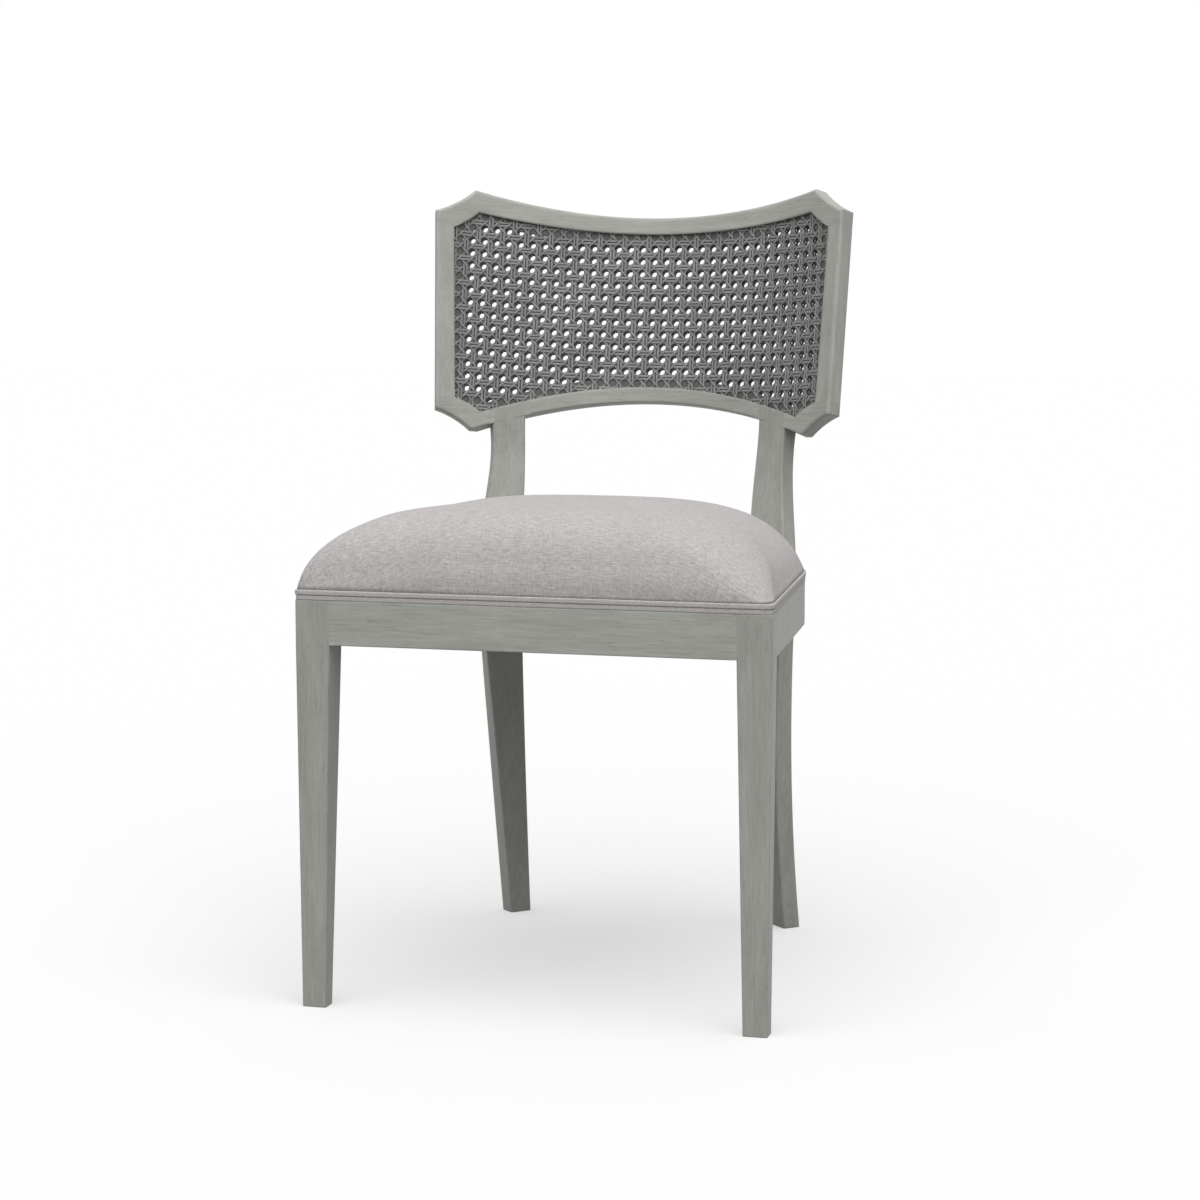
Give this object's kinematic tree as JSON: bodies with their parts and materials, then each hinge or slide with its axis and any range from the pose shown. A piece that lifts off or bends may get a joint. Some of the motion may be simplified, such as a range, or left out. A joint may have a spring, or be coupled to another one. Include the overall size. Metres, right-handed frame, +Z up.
{
  "type": "cane back chair",
  "caption": "Dining chair with a curved woven cane back, crowned upholstered seat with double welt, tapered front legs and saber rear legs.",
  "frame": {"origin": "on the floor, at the middle of the chair's footprint box", "axes": "+Z up, +Y from the seat's front towards the back, +X from left to right as seen from the front"},
  "size_m": [0.503, 0.5446, 0.8474],
  "materials": {
    "painted_wood": "satin, thin grey paint over visible grain",
    "cane": "grey painted woven cane",
    "seat_fabric": "plain slubbed weave, light warm grey",
    "welt_fabric": "double welt in the seat's fabric",
    "inner_wood": "bare hardwood",
    "deck_board": "bare plywood",
    "foam": "open cell foam",
    "dust_cloth": "black lining cloth",
    "steel": "zinc plated"
  },
  "bodies": {
    "root": {"back_arch_rail": "painted_wood", "back_ear_left": "painted_wood", "back_ear_right": "painted_wood", "back_frame_dowels": "inner_wood", "back_stile_left": "painted_wood", "back_stile_right": "painted_wood", "cane_bead_bottom": "painted_wood", "cane_bead_left": "painted_wood", "cane_bead_right": "painted_wood", "cane_bead_top": "painted_wood", "cane_front": "cane", "cane_rear": "cane", "cane_spacer": "inner_wood", "corner_block_screws": "steel", "crest_rail": "painted_wood", "deck_screws": "steel", "dust_cover": "dust_cloth", "front_corner_block_left": "inner_wood", "front_corner_block_right": "inner_wood", "front_leg_left": "painted_wood", "front_leg_right": "painted_wood", "front_rail": "painted_wood", "rear_corner_block_left": "inner_wood", "rear_corner_block_right": "inner_wood", "rear_leg_bolts": "steel", "rear_leg_left": "painted_wood", "rear_leg_right": "painted_wood", "rear_rail": "painted_wood", "seat_cover": "seat_fabric", "seat_deck": "deck_board", "seat_foam": "foam", "seat_frame_dowels": "inner_wood", "side_rail_left": "painted_wood", "side_rail_right": "painted_wood", "welt_lower": "welt_fabric", "welt_upper": "welt_fabric"}
  },
  "joints": []
}
